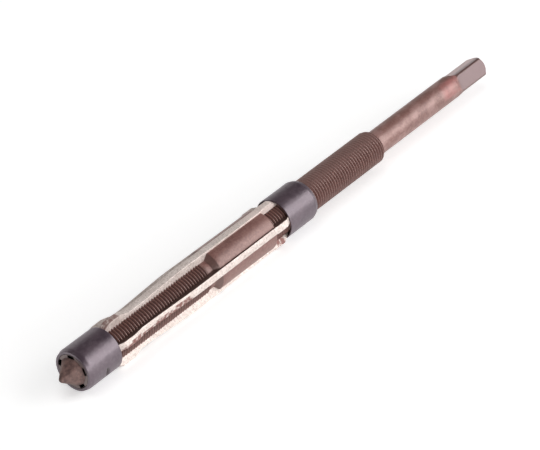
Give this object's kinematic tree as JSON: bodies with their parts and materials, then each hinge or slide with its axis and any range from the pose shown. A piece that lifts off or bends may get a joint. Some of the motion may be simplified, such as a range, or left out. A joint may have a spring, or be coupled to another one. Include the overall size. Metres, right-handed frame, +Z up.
{
  "type": "adjustable hand reamer",
  "caption": "Expanding hand reamer: loose straight blades in sloping slots, held between two round nuts on a threaded body with a pilot point and a square drive end.",
  "frame": {"origin": "centre of the end face of the square drive, on the tool axis", "axes": "+X along the tool axis from the square drive end to the pilot point; +Z up, with the reamer lying on its two nuts and blade_1 uppermost"},
  "size_m": [0.0929, 0.0068, 0.0065],
  "materials": {
    "oxidised_steel": "brown oxidised, satin",
    "blued_steel": "blued, satin, finely scratched",
    "ground_steel": "ground bright, with brown stains"
  },
  "bodies": {
    "body": {"body": "oxidised_steel"},
    "front_nut": {"front_nut": "blued_steel"},
    "rear_nut": {"rear_nut": "blued_steel"},
    "blade_1": {"blade_1": "ground_steel"},
    "blade_2": {"blade_2": "ground_steel"},
    "blade_3": {"blade_3": "ground_steel"},
    "blade_4": {"blade_4": "ground_steel"},
    "blade_5": {"blade_5": "ground_steel"}
  },
  "joints": [
    {"name": "front_nut_feed", "type": "slide", "parent": "body", "child": "front_nut", "axis": [-1, 0, 0], "range_m": [0, 0.01158]},
    {"name": "rear_nut_feed", "type": "slide", "parent": "body", "child": "rear_nut", "axis": [-1, 0, 0], "range_m": [0, 0.01242]},
    {"name": "blade_1_slide", "type": "slide", "parent": "body", "child": "blade_1", "axis": [-0.9998, 0, 0.02], "range_m": [0, 0.012]},
    {"name": "blade_2_slide", "type": "slide", "parent": "body", "child": "blade_2", "axis": [-0.9998, 0.019, 0.0062], "range_m": [0, 0.012]},
    {"name": "blade_3_slide", "type": "slide", "parent": "body", "child": "blade_3", "axis": [-0.9998, 0.0118, -0.0162], "range_m": [0, 0.012]},
    {"name": "blade_4_slide", "type": "slide", "parent": "body", "child": "blade_4", "axis": [-0.9998, -0.0118, -0.0162], "range_m": [0, 0.012]},
    {"name": "blade_5_slide", "type": "slide", "parent": "body", "child": "blade_5", "axis": [-0.9998, -0.019, 0.0062], "range_m": [0, 0.012]}
  ],
  "couplings": [
    {"joint": "rear_nut_feed", "follows": "front_nut_feed", "ratio": 1.0718},
    {"joint": "blade_1_slide", "follows": "front_nut_feed", "ratio": 1.0361},
    {"joint": "blade_2_slide", "follows": "front_nut_feed", "ratio": 1.0361},
    {"joint": "blade_3_slide", "follows": "front_nut_feed", "ratio": 1.0361},
    {"joint": "blade_4_slide", "follows": "front_nut_feed", "ratio": 1.0361},
    {"joint": "blade_5_slide", "follows": "front_nut_feed", "ratio": 1.0361}
  ]
}
